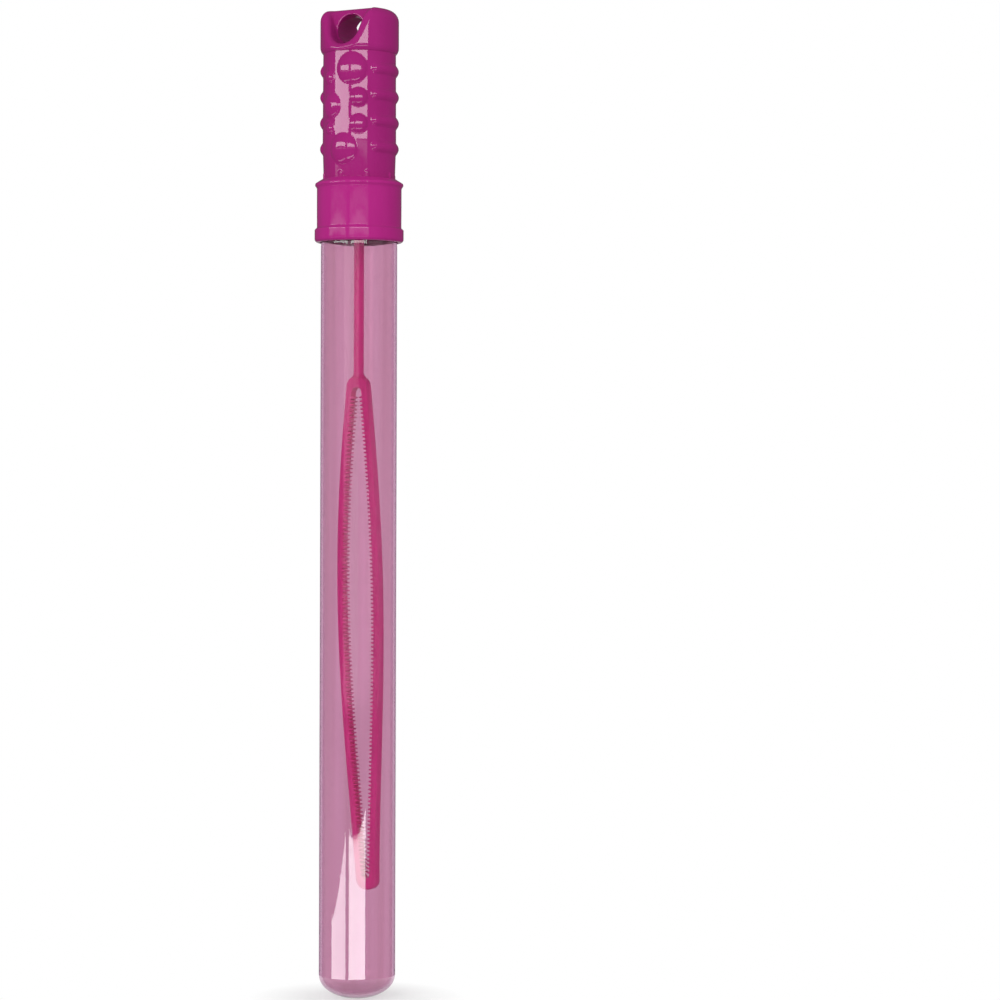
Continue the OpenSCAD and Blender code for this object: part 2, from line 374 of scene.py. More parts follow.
    @staticmethod
    def cylinder(name: str, radius: float, depth: float, centre: Sequence[float], sides: int,
                 **options: object) -> Piece:
        """Add a cylinder, upright unless the options turn it.

        Args:
            name: Name of the new piece.
            radius: Its radius.
            depth: Its length.
            centre: Its middle.
            sides: Number of its sides.
            options: Further options of the operator.

        Returns:
            The cylinder.
        """
        Workbench.clear()
        bpy.ops.mesh.primitive_cylinder_add(vertices=sides, radius=radius * MM, depth=depth * MM,
                                            location=[c * MM for c in centre], **options)
        return Workbench.settle(name)


class NodeBoard:
    """The node tree of a material or world, with short calls to add and join nodes."""

    middle = (0.3, 0.7)

    def __init__(self, tree: bpy.types.NodeTree) -> None:
        """Take over a node tree and empty it."""
        self.tree = tree
        self.tree.nodes.clear()

    def add(self, kind: str, settings: dict[str, object] | None = None, **inputs: object) -> bpy.types.Node:
        """Add a node.

        Args:
            kind: The node's type.
            settings: Properties of the node.
            inputs: Values or source sockets by input name, with underscores for spaces.

        Returns:
            The node.
        """
        node = self.tree.nodes.new(kind)
        for key, value in (settings or {}).items():
            setattr(node, key, value)
        for key, value in inputs.items():
            socket = node.inputs[key.replace("_", " ")]
            if isinstance(value, Socket):
                self.tree.links.new(value, socket)
            else:
                socket.default_value = value
        return node

    def coordinates(self, scale: Sequence[float] = (1, 1, 1)) -> Socket:
        """The object's own coordinates, stretched along each axis."""
        source = self.add("ShaderNodeTexCoord").outputs["Object"]
        return self.add("ShaderNodeMapping", Vector=source, Scale=scale).outputs["Vector"]

    def noise(self, vector: Socket, scale: float, detail: float = 2.0) -> Socket:
        """Noise between 0 and 1 at a scale per metre."""
        node = self.add("ShaderNodeTexNoise", Vector=vector, Scale=scale, Detail=detail)
        return node.outputs["Fac"]

    def span(self, factor: Socket, low: float, high: float) -> Socket:
        """Spread the middle of a noise over a range."""
        return self.ramp(factor, *self.middle, low, high)

    def ramp(self, factor: Socket, start: float, end: float, low: float = 0.0, high: float = 1.0) -> Socket:
        """Run from a low to a high value between two places of a factor.

        Args:
            factor: The factor.
            start: Place of the low value.
            end: Place of the high value.
            low: The low value.
            high: The high value.

        Returns:
            The value.
        """
        node = self.add("ShaderNodeMapRange", Value=factor)
        for place, value in zip(("From Min", "From Max", "To Min", "To Max"), (start, end, low, high)):
            node.inputs[place].default_value = value
        return node.outputs["Result"]

    def tint(self, factor: Socket, low: Colour, high: Colour) -> Socket:
        """Run from one colour to another over the middle of a noise.

        Args:
            factor: The noise.
            low: Colour at its low end.
            high: Colour at its high end.

        Returns:
            The colour.
        """
        node = self.add("ShaderNodeValToRGB", Fac=factor)
        for stop, place, colour in zip(node.color_ramp.elements, self.middle, (low, high)):
            stop.position = place
            stop.color = (*colour, 1)
        return node.outputs["Color"]

    def feed(self, node: bpy.types.Node, first: int, *sources: Socket) -> Socket:
        """Link sources to a node's inputs.

        Args:
            node: The node.
            first: Number of the first input.
            sources: Sources of the inputs from there on.

        Returns:
            The node's first output.
        """
        for place, source in enumerate(sources, first):
            self.tree.links.new(source, node.inputs[place])
        return node.outputs[0]

    def join(self, operation: str, first: Socket, second: Socket) -> Socket:
        """Join two values by a mathematical operation."""
        return self.feed(self.add("ShaderNodeMath", {"operation": operation}), 0, first, second)

    def mix(self, factor: Socket, first: Socket, second: Socket) -> Socket:
        """Mix two surfaces or backgrounds."""
        return self.feed(self.add("ShaderNodeMixShader", Fac=factor), 1, first, second)

    def seen(self) -> Socket:
        """One for rays of the camera, of gloss and of clear plastic, else zero.

        Returns:
            The flag.
        """
        path = self.add("ShaderNodeLightPath").outputs
        shown = self.join("MAXIMUM", path["Is Camera Ray"], path["Is Glossy Ray"])
        return self.join("MAXIMUM", shown, path["Is Transmission Ray"])

    def bump(self, height: Socket, depth: float, below: Socket | None = None) -> Socket:
        """Bend the shading normal.

        Args:
            height: Height between 0 and 1.
            depth: What a height of 1 stands for.
            below: Another bump that this one lies on.

        Returns:
            The normal.
        """
        node = self.add("ShaderNodeBump", Height=height, Distance=depth * MM, Strength=1.0)
        if below is not None:
            self.tree.links.new(below, node.inputs["Normal"])
        return node.outputs["Normal"]

    def plastic(self, **inputs: object) -> None:
        """End a material in a principled surface with these inputs."""
        surface = self.add("ShaderNodeBsdfPrincipled", **inputs)
        self.add("ShaderNodeOutputMaterial", Surface=surface.outputs["BSDF"])


def new_board(name: str) -> tuple[Finish, NodeBoard]:
    """Start a material.

    Args:
        name: Name of the material.

    Returns:
        The material and its node board.
    """
    material = bpy.data.materials.new(name)
    material.use_nodes = True
    return material, NodeBoard(material.node_tree)


@dataclass(frozen=True)
class MouldedPlastic:
    """Glossy self-coloured plastic with soft flow marks and a slightly wavy skin."""

    name: str
    deep: Colour
    bright: Colour
    gloss: Span = (0.03, 0.06)
    specular: float = 0.5
    flow_scale: float = 90.0
    flow_along: float = 0.35
    grain_scale: float = 1500.0
    grain_depth: float = 0.001
    wave_scale: float = 160.0
    wave_depth: float = 0.008

    def material(self) -> Finish:
        """Build the material.

        Returns:
            The material.
        """
        material, board = new_board(self.name)
        place = board.coordinates()
        flow = board.noise(board.coordinates((1, 1, self.flow_along)), self.flow_scale, 3.0)
        grain = board.noise(place, self.grain_scale, 3.0)
        wave = board.noise(place, self.wave_scale, 1.0)
        board.plastic(
            Base_Color=board.tint(flow, self.deep, self.bright), Roughness=board.span(grain, *self.gloss),
            Specular_IOR_Level=self.specular, IOR=PLASTIC_IOR,
            Normal=board.bump(grain, self.grain_depth, board.bump(wave, self.wave_depth)),
        )
        return material


@dataclass(frozen=True)
class ClearPlastic:
    """Clear tinted plastic of a blown tube, with faint streaks along its length."""

    name: str
    thin: Colour
    thick: Colour
    rim: Colour
    gloss: Span = (0.015, 0.05)
    rim_places: Span = (0.56, 0.7)
    streak_scale: float = 260.0
    streak_along: float = 0.02
    streak_depth: float = 0.006
    haze_scale: float = 400.0

    def material(self) -> Finish:
        """Build the material.

        Returns:
            The material.
        """
        material, board = new_board(self.name)
        streak = board.noise(board.coordinates((1, 1, self.streak_along)), self.streak_scale, 3.0)
        haze = board.noise(board.coordinates(), self.haze_scale, 4.0)
        aslant = board.add("ShaderNodeLayerWeight", Blend=0.5).outputs["Facing"]
        edge = board.ramp(aslant, *self.rim_places)
        colour = board.add("ShaderNodeMix", {"data_type": "RGBA"}, Factor=edge)
        # Inputs 6 and 7 are the two colours of a colour mix, and output 2 is the mixed one.
        board.feed(colour, 6, board.tint(streak, self.thick, self.thin))
        colour.inputs[7].default_value = (*self.rim, 1)
        board.plastic(
            Base_Color=colour.outputs[2], Roughness=board.span(haze, *self.gloss), IOR=PLASTIC_IOR,
            Transmission_Weight=1.0, Normal=board.bump(streak, self.streak_depth),
        )
        return material


@dataclass(frozen=True)
class FoamLiner:
    """Matte closed-cell foam of the sealing washer."""

    name: str
    shade: Colour
    light: Colour
    matte: Span = (0.6, 0.85)
    cell_scale: float = 2600.0
    cell_depth: float = 0.06

    def material(self) -> Finish:
        """Build the material.

        Returns:
            The material.
        """
        material, board = new_board(self.name)
        foam = board.add("ShaderNodeTexVoronoi", Vector=board.coordinates(), Scale=self.cell_scale)
        cells = foam.outputs["Distance"]
        board.plastic(
            Base_Color=board.tint(cells, self.shade, self.light), Roughness=board.span(cells, *self.matte),
            Specular_IOR_Level=0.3, Normal=board.bump(cells, self.cell_depth),
        )
        return material


@dataclass(frozen=True)
class PaleFloor:
    """White studio floor that keeps a soft shadow and fades into the background."""

    name: str
    reach: float
    glow: Span = (1.0, 0.55)
    paint: Span = (0.9, 0.93)
    speck_scale: float = 300.0

    def material(self) -> Finish:
        """Build the material.

        Returns:
            The material.
        """
        material, board = new_board(self.name)
        spot = board.coordinates((1 / (self.reach * MM),) * 3)
        fade = board.add("ShaderNodeTexGradient", {"gradient_type": "SPHERICAL"}, Vector=spot).outputs["Fac"]
        share = board.join("MULTIPLY", board.seen(), board.span(fade, *self.glow))
        speck = board.noise(board.coordinates(), self.speck_scale)
        colour = board.tint(speck, *((level,) * 3 for level in self.paint))
        paint = board.add("ShaderNodeBsdfDiffuse", Color=colour, Roughness=0.5)
        white = board.add("ShaderNodeEmission", Color=(1, 1, 1, 1), Strength=1.0)
        surface = board.mix(share, paint.outputs["BSDF"], white.outputs["Emission"])
        board.add("ShaderNodeOutputMaterial", Surface=surface)
        return material


@dataclass(frozen=True)
class Sizes:
    """Driving sizes read from the frame's boxes."""

    tube_r: float
    lip_z: float
    collar_z: float
    top_z: float
    band_r: float
    loop_z: float
    plug_z: float
    washer_r: float
    washer_low: float
    washer_high: float

    @classmethod
    def from_frame(cls) -> Sizes:
        """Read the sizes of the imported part.

        Returns:
            The sizes.
        """
        tube, wand, cap, washer = (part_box(n) for n in ("tube", "wand", "handle_cap", "sealing_washer"))
        return cls(
            tube_r=tube[1].y / MM, lip_z=tube[1].z / MM, collar_z=cap[0].z / MM, top_z=cap[1].z / MM,
            band_r=cap[1].y / MM, loop_z=wand[0].z / MM, plug_z=wand[1].z / MM,
            washer_r=washer[1].y / MM, washer_low=washer[0].z / MM, washer_high=washer[1].z / MM,
        )


@dataclass(frozen=True)
class Thread:
    """Interrupted screw thread as a height over a round wall."""

    lead: float = 3.0
    depth: float = 0.9
    foot: float = 0.7
    crest: float = 0.42
    spread: float = 36.0
    fade: float = 5.0

    def height(self, angle: np.ndarray, z: np.ndarray, start: float, flights: int) -> np.ndarray:
        """Height of the flights over the wall.

        Args:
            angle: Direction of each point in degrees.
            z: Height of each point.
            start: Height of the first flight's middle.
            flights: Number of flights, a quarter turn apart.

        Returns:
            The height at each point.
        """
        best = np.zeros_like(z)
        for i in range(flights):
            off = turn_between(angle, 90.0 * i)
            line = start + self.lead * (90.0 * i + off) / 360.0
            flank = np.clip((self.foot - np.abs(z - line)) / (self.foot - self.crest), 0.0, 1.0)
            gate = np.clip((self.spread - np.abs(off)) / self.fade, 0.0, 1.0)
            best = np.maximum(best, self.depth * flank * gate)
        return best


@dataclass(frozen=True)
class SubAssembly:
    """Pieces that ride one body of the frame and stand for one of its nodes."""

    sizes: Sizes
    material: Finish
    body: Body
    node: str
    slot: Slot

    def mount(self, piece: Piece, material: Finish | None = None) -> None:
        """Give a finished piece its finish and its place in the frame.

        Args:
            piece: The piece, at the origin.
            material: Finish of this piece alone; None gives it the sub-assembly's.
        """
        piece.data.materials.clear()
        piece.data.materials.append(material or self.material)
        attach(piece, self.body.value)
        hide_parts(self.node)
        LOG.info("%s: %d faces", piece.name, len(piece.data.polygons))


@dataclass(frozen=True)
class TubeAssembly(SubAssembly):
    """Clear tube with a domed foot, a shoulder and a threaded neck."""

    body: Body = Body.TUBE
    node: str = "tube"
    slot: Slot = Slot.CLEAR_TUBE

    wall: float = 1.0
    dome_h: float = 8.7
    dome_fullness: float = 2.05
    dome_start: float = 1.5
    dome_steps: int = 20
    guides: Span = (60.0, 170.0)
    draw_z: float = 281.1
    shoulder_z: float = 284.9
    neck_r: float = 13.3
    neck_rows: int = 84
    mouth_r: float = 12.0
    throat_h: float = 2.6
    throat_steps: int = 10
    thread_z: float = 293.0
    flights: int = 5
    ring_z: float = 10.2
    gate_r: float = 2.0
    gate_h: float = 0.5
    crisp: float = 50.0

    def bowl(self, radius: float, depth: float) -> list[Point]:
        """Outline of the rounded foot from its middle to the straight wall.

        Args:
            radius: Radius of the wall.
            depth: Depth of the bowl.

        Returns:
            The points.
        """
        power, start, steps = 2 / self.dome_fullness, self.dome_start, self.dome_steps
        sweep = [math.radians(start + (90.0 - start) * i / steps) for i in range(steps + 1)]
        return [(radius * math.sin(a) ** power, self.dome_h - depth * max(math.cos(a), 0.0) ** power)
                for a in sweep]

    def outline(self) -> list[Point]:
        """Outline of the shell from the outer to the inner middle of the foot.

        Returns:
            Radius and height of each point.
        """
        r, top, neck, mouth = self.sizes.tube_r, self.sizes.lip_z, self.neck_r, self.mouth_r
        bore, end, draw = r - self.wall, self.shoulder_z, self.draw_z
        low, high = self.guides
        step = r - neck - 0.12
        shoulder = [(r, low), (r, high), (r, draw), (r - 0.02, draw + 0.7), (r - 0.06, draw + 1.8)]
        shoulder += arc((neck, end - step), step, 0, 78, 9)
        shoulder += [(neck + 0.06, end + 0.05), (neck, end + 0.3)]
        threaded = top - end - 1.4
        wall = [(neck, end + 0.8 + threaded * i / self.neck_rows) for i in range(self.neck_rows + 1)]
        lip = arc((neck - 0.4, top - 0.4), 0.4, 15, 90, 4)
        lip += arc((mouth + 0.3, top - 0.3), 0.3, 90, 180, 4)
        turns = [math.pi * i / self.throat_steps for i in range(self.throat_steps + 1)]
        throat, deep = bore - mouth, self.throat_h
        inside = [(bore - throat * (0.5 + 0.5 * math.cos(a)), end + 0.6 - deep * a / math.pi) for a in turns]
        inside += [(bore, high), (bore, low), (bore, self.ring_z + 0.3), (bore - 0.03, self.ring_z)]
        inside += [(x, z + self.gate_h * max(0.0, 1 - (x / self.gate_r) ** 2))
                   for x, z in reversed(self.bowl(bore, self.dome_h - self.wall))]
        return self.bowl(r, self.dome_h) + shoulder + wall + lip + inside

    def skin(self, radius: np.ndarray, angle: np.ndarray, z: np.ndarray) -> np.ndarray:
        """Radius of the shell with the thread raised from its neck."""
        on_neck = (np.abs(radius - self.neck_r) < SAME_WALL) & (z > self.shoulder_z + 0.5)
        return radius + Thread().height(angle, z, self.thread_z, self.flights) * on_neck

    def build(self) -> None:
        """Model the shell and raise the thread from its neck."""
        shell = Workbench.turn("tube_shell", self.outline())
        Workbench.reskin(shell, self.skin)
        Workbench.shade(shell, self.crisp)
        self.mount(shell)


@dataclass(frozen=True)
class WasherAssembly(SubAssembly):
    """Flat foam washer on the tube's lip."""

    body: Body = Body.WASHER
    node: str = "sealing_washer"
    slot: Slot = Slot.WASHER_FOAM

    bore_r: float = 12.0
    edge: float = 0.25
    edge_steps: int = 4
    sides: int = 96
    crisp: float = 50.0

    def build(self) -> None:
        """Model the washer."""
        low, high = self.sizes.washer_low, self.sizes.washer_high
        inner, outer, e = self.bore_r, self.sizes.washer_r, self.edge
        corners = ((outer - e, low + e), (outer - e, high - e), (inner + e, high - e), (inner + e, low + e))
        outline = []
        for i, corner in enumerate(corners):
            outline += arc(corner, e, 90 * i - 90, 90 * i, self.edge_steps)
        washer = Workbench.turn("sealing_ring", outline, self.sides, ring=True)
        Workbench.shade(washer, self.crisp)
        self.mount(washer)


@dataclass(frozen=True)
class WandAssembly(SubAssembly):
    """Long bowed loop with toothed inner edges on a round stem."""

    body: Body = Body.WAND
    node: str = "wand"
    slot: Slot = Slot.WAND_PLASTIC

    loop_l: float = 192.0
    end_half: float = 4.0
    belly: float = 5.1
    belly_skew: float = 1.225
    bow: float = 4.8
    bar_w: float = 2.5
    bar_t: float = 4.0
    end_bar: float = 4.4
    loop_round: float = 3.4
    slot_fullness: float = 0.98
    stem_r: float = 1.9
    tooth_pitch: float = 1.48
    tooth_depth: float = 1.05
    tooth_root: float = 0.6
    tooth_half: float = 0.35
    tooth_tip: tuple[float, float, float] = (1, 0.9, 0.43)
    tooth_clear: float = 1.5
    tooth_round: float = 0.09
    bar_round: float = 0.55
    stem_sides: int = 48
    crisp: float = 35.0
    flare: float = 0.9
    flare_h: float = 1.8
    flare_steps: int = 8
    steps: int = 110

    def half_width(self, z: float) -> float:
        """Half the loop's outer width at a height."""
        share = min(max((z - self.sizes.loop_z) / self.loop_l, 0.0), 1.0)
        return self.end_half + self.belly * math.sin(math.pi * share ** self.belly_skew)

    def middle(self, z: float) -> float:
        """Sideways bow of the loop's middle line at a height."""
        return self.bow * ((self.sizes.loop_z + self.loop_l - z) / self.loop_l) ** 2

    def side(self, low: float, high: float, inset: float, rounding: float) -> list[Point]:
        """Half width and height along one side of the loop, with rounded ends.

        Args:
            low: Lowest height.
            high: Highest height.
            inset: How far the side lies inside the loop's outer edge.
            rounding: Radius of the end corners.

        Returns:
            The points from the bottom's middle to the top's middle.
        """
        points = []
        for i in range(self.steps + 1):
            share = i / self.steps
            z = low + (high - low) * (0.5 - 0.5 * math.cos(math.pi * share))
            near = min(z - low, high - z)
            reach = max(rounding - near, 0.0)
            draw = rounding - math.sqrt(max(rounding ** 2 - reach ** 2, 0.0))
            points.append((max(self.half_width(z) - inset - draw, 0.0), z))
        return [(0.0, low)] + points + [(0.0, high)]

    def loop(self) -> Piece:
        """Model the loop as a strip that is wrapped round, thickened and bevelled.

        Returns:
            The loop.
        """
        low, high = self.sizes.loop_z, self.sizes.loop_z + self.loop_l
        outer = self.side(low, high, 0.0, self.loop_round)
        rounding = (self.end_half - self.bar_w) * self.slot_fullness
        inner = self.side(low + self.end_bar, high - self.end_bar, self.bar_w, rounding)
        rim, hole = (half + [(-x, z) for x, z in reversed(half[1:-1])] for half in (outer, inner))
        count = len(rim)
        Workbench.clear()
        bpy.ops.mesh.primitive_grid_add(x_subdivisions=count, y_subdivisions=1, size=2)
        loop = Workbench.settle("dipping_loop")
        flat = Workbench.points(loop) * MM
        place = np.rint((flat[:, 0] + 1.0) / 2.0 * count).astype(int) % count
        edges = np.where((flat[:, 1] > 0)[:, None], np.array(rim)[place], np.array(hole)[place])
        bend = np.array([self.middle(z) for z in edges[:, 1]])
        Workbench.reshape(loop, np.stack([edges[:, 0] + bend, np.zeros(len(edges)), edges[:, 1]], axis=1))
        Workbench.mend(loop)
        Workbench.apply(loop, "SOLIDIFY", thickness=self.bar_t * MM, offset=0.0, use_even_offset=True)
        Workbench.mend(loop)
        Workbench.bevel(loop, self.bar_round, 3, 60)
        return loop

    def tooth(self) -> Piece:
        """Model one tooth: a small wedge that points along +X.

        Returns:
            The tooth, its root in the YZ plane.
        """
        wide, high = self.bar_t / 2 - 0.15, self.tooth_half * self.tooth_pitch
        tooth = Workbench.block("tooth", (-self.tooth_root, -wide, -high), (self.tooth_depth, wide, high))
        with Workbench.editing(tooth):
            Workbench.pick(tooth, Domain.FACE, lambda f: f.normal.x > 0.9)
            bpy.ops.transform.resize(value=self.tooth_tip, center_override=(0, 0, 0))
        Workbench.bevel(tooth, self.tooth_round, 1, 40)
        return tooth

    def teeth(self) -> list[Piece]:
        """Copy the tooth along both inner edges of the loop.

        Returns:
            The copies.
        """
        first = self.sizes.loop_z + self.end_bar + self.tooth_clear + self.tooth_pitch * self.tooth_half
        count = int((self.loop_l - 2 * self.end_bar - 2 * self.tooth_clear) / self.tooth_pitch)
        master = self.tooth()
        copies = []
        for side in (-1, 1):
            for i in range(count):
                z = first + i * self.tooth_pitch
                copy = master.copy()
                copy.data = master.data.copy()
                bpy.context.collection.objects.link(copy)
                x = self.middle(z) + side * (self.half_width(z) - self.bar_w)
                turn = Matrix.Rotation(math.pi if side > 0 else 0.0, 4, "Z")
                copy.data.transform(Matrix.Translation(Vector((x, 0, z)) * MM) @ turn)
                copies.append(copy)
        bpy.data.objects.remove(master, do_unlink=True)
        return copies

    def stem(self) -> Piece:
        """Model the round stem, which flares a little into the loop.

        Returns:
            The stem.
        """
        r, top, root = self.stem_r, self.sizes.plug_z, self.sizes.loop_z + self.loop_l
        steps = self.flare_steps
        outline = [(r + 0.1, root - 3.0), (r + 0.1, root - 0.6)]
        outline += [(r + self.flare * (1 - t / steps) ** 2, root - 0.4 + self.flare_h * t / steps)
                    for t in range(steps + 1)]
        outline += [(r, root + 20.0), (r, top - 0.4), (r - 0.4, top)]
        return Workbench.turn("stem", outline, self.stem_sides)

    def build(self) -> None:
        """Model the wand as one moulding."""
        wand = Workbench.join([self.loop(), self.stem(), *self.teeth()])
        Workbench.shade(wand, self.crisp)
        self.mount(wand)


@dataclass(frozen=True)
class Bubble:
    """Raised bubble on the grip, placed by its angle and its height in rib steps."""

    angle: float
    step: float
    radius: float


@dataclass(frozen=True)
class CapAssembly(SubAssembly):
    """Screw cap with a banded collar, a ribbed grip and a notched head with an eye."""

    body: Body = Body.CAP
    node: str = "handle_cap"
    slot: Slot = Slot.CAP_PLASTIC
    # Lighter copy of the cap plastic for the collar: painted light, standing in for the extra light the
    # collar catches.
    lit_collar_material: Finish = field(kw_only=True)

    collar_r: float = 15.85
    collar_guide: float = 296.0
    collar_top: float = 306.4
    collar_sides: int = 160
    collar_crisp: float = 45.0
    bore_r: float = 14.5
    bore_rows: int = 72
    bore_flights: int = 4
    band_h: float = 5.4
    band_round: float = 1.3
    bead_r: float = 16.55
    bead_z: float = 304.5
    bead_round: float = 0.85
    roof_z: float = 303.3
    well_r: float = 12.0
    foot_r: float = 13.35
    belly_r: float = 13.75
    grip_r: float = 13.6
    grip_sides: int = 336
    grip_cuts: int = 13
    grip_soften: int = 5
    grip_crisp: float = 70.0
    overlap: float = 0.4
    draft_top: float = 320.4
    first_rib: float = 317.95
    rib_pitch: float = 9.7
    rib_count: int = 4
    rib_half: float = 2.3
    rib_corner: float = 0.95
    rib_proud: float = 1.08
    rib_swell: float = 1.05
    rib_spread: float = 39.5
    bubble_proud: float = 1.1
    bubble_least: float = 0.55
    bubble_full: float = 10.0
    bubble_flat: float = 2.4
    bubble_swell: float = 0.75
    fin_count: int = 8
    fin_h: float = 2.4
    fin_half: float = 0.65
    fin_round: float = 0.3
    fin_proud: float = 0.55
    head_r: float = 14.7
    head_z: float = 354.0
    head_low: float = 353.4
    head_round: float = 4.4
    head_sides: int = 96
    head_soften: int = 3
    voxel: float = 0.25
    face_slope: float = 17.0
    face_reach: float = 14.4
    face_round: float = 1.0
    lip_h: float = 1.3
    lip_in: float = 1.0
    lip_round: float = 0.7
    under_round: float = 0.2
    eye_z: float = 362.2
    eye_r: float = 5.7
    eye_round: float = 0.45
    eye_deep: float = 40.0
    web_half: float = 6.5
    web_draft: float = 0.07
    web_round: float = 0.5
    notch_low: float = 356.35
    notch_r: float = 5.75
    notch_deep: float = 12.0
    notch_lift: float = 14.0
    notch_widen: float = 1.4
    notch_draft: float = 0.1
    notch_flare: float = 16.0
    notch_round: float = 2.0
    tool_sides: int = 48
    skin_steps: int = 8
    skin_probe: float = 0.002
    skin_flattest: float = 0.2
    skin_farthest: float = 0.3
    socket_r: float = 2.9
    socket_bore: float = 1.95
    socket_z: float = 284.0
    socket_sides: int = 48
    socket_crisp: float = 40.0
    web_t: float = 1.2
    web_edge: float = 0.2
    bubbles: tuple[Bubble, ...] = (
        Bubble(-24.5, 2.68, 2.7), Bubble(19.5, 2.97, 5.8), Bubble(-19.5, 1.58, 4.75),
        Bubble(30.5, 1.86, 3.4), Bubble(-22.5, 0.72, 2.4), Bubble(30.5, 0.85, 3.4),
        Bubble(4.5, -0.10, 5.7),
    )

    def collar_outline(self) -> list[Point]:
        """Outline of the collar, round its outside and back down its bore.

        Returns:
            Radius and height of each point.
        """
        low, band, r = self.sizes.collar_z, self.sizes.band_r, self.collar_r
        step, top, roof, well = low + self.band_h, self.collar_top, self.roof_z, self.well_r
        edge, bead, rows = self.band_round, self.bead_round, self.bore_rows
        outline = [(self.bore_r + 0.3, low)] + arc((band - edge, low + edge), edge, -90, 0, 8)
        outline += arc((band - 0.5, step - 0.95), 0.5, 0, 50, 4)
        outline += [(r + 0.1, step - 0.05), (r, step + 0.1), (r, self.collar_guide), (r, self.bead_z - 1.5)]
        outline += [(r + 0.08, self.bead_z - 1.2)] + arc((self.bead_r - bead, self.bead_z), bead, -50, 62, 9)
        outline += [(self.foot_r + 0.5, top + 0.25), (self.foot_r - 0.4, top + 0.45)]
        outline += [(well, top), (well, roof), (self.bore_r - 0.3, roof)]
        deep = roof - 0.3 - (low + 0.8)
        outline += [(self.bore_r, roof - 0.3 - deep * i / rows) for i in range(rows + 1)]
        return outline

    def collar_skin(self, radius: np.ndarray, angle: np.ndarray, z: np.ndarray) -> np.ndarray:
        """Radius of the collar with the thread raised from its bore.

        Args:
            radius: Radius of each point.
            angle: Direction of each point in degrees.
            z: Height of each point.

        Returns:
            The new radius of each point.
        """
        thread = Thread()
        start = TubeAssembly.thread_z - thread.lead / 2
        in_bore = np.abs(radius - self.bore_r) < SAME_WALL
        return radius - thread.height(angle, z, start, self.bore_flights) * in_bore

    def collar(self) -> Piece:
        """Model the collar and raise the thread from its bore.

        Returns:
            The collar.
        """
        collar = Workbench.turn("cap_collar", self.collar_outline(), self.collar_sides, ring=True)
        Workbench.reskin(collar, self.collar_skin)
        Workbench.shade(collar, self.collar_crisp)
        return collar

    def rib_height(self, angle: np.ndarray, z: np.ndarray) -> np.ndarray:
        """Height of the finger ribs over the grip.

        Args:
            angle: Direction of each point in degrees.
            z: Height of each point.

        Returns:
            The height at each point.
        """
        best = np.zeros_like(z)
        corner = self.rib_corner * self.rib_half
        reach = math.radians(self.rib_spread) * self.grip_r
        for side in (0.0, 180.0):
            along = np.abs(np.radians(turn_between(angle, side))) * self.grip_r - reach
            for i in range(self.rib_count):
                up = np.abs(z - self.first_rib - i * self.rib_pitch) - self.rib_half
                deep = -rounded_cut(along, up, corner)
                share = np.clip(deep / self.rib_half, 0.0, 1.0)
                best = np.maximum(best, self.rib_proud * (1 - (1 - share) ** 2) ** self.rib_swell)
        return best

    def bubble_height(self, angle: np.ndarray, z: np.ndarray) -> np.ndarray:
        """Height of the raised bubbles on the front and the back of the grip.

        Args:
            angle: Direction of each point in degrees.
            z: Height of each point.

        Returns:
            The height at each point.
        """
        best = np.zeros_like(z)
        for face in (-90.0, 90.0):
            for bubble in self.bubbles:
                along = np.radians(turn_between(angle, face + bubble.angle)) * self.grip_r
                up = z - self.first_rib - bubble.step * self.rib_pitch
                share = np.clip(1 - np.hypot(along, up) / bubble.radius, 0.0, 1.0)
                proud = self.bubble_proud * min(1.0, self.bubble_least + bubble.radius / self.bubble_full)
                swell = (1 - (1 - share) ** self.bubble_flat) ** self.bubble_swell
                best = np.maximum(best, proud * swell)
        return best

    def fin_height(self, angle: np.ndarray, z: np.ndarray) -> np.ndarray:
        """Height of the small upright fins at the foot of the grip.

        Args:
            angle: Direction of each point in degrees.
            z: Height of each point.

        Returns:
            The height at each point.
        """
        pitch = 360.0 / self.fin_count
        along = np.abs(np.radians((angle + pitch / 2) % pitch - pitch / 2)) * self.grip_r
        inside = -rounded_cut(along - self.fin_half, z - self.collar_top - self.fin_h, self.fin_round)
        return self.fin_proud * np.clip(inside / self.fin_round, 0.0, 1.0)

    def grip_skin(self, angle: np.ndarray, z: np.ndarray) -> np.ndarray:
        """Radius of the grip with its ribs, bubbles and fins.

        Args:
            angle: Direction of each point in degrees.
            z: Height of each point.

        Returns:
            The radius at each point.
        """
        heights = (self.collar_top, self.draft_top, self.head_z)
        plain = np.interp(z, heights, (self.foot_r, self.belly_r, self.grip_r))
        raised = np.maximum(self.rib_height(angle, z), self.bubble_height(angle, z))
        return plain + np.maximum(raised, self.fin_height(angle, z))

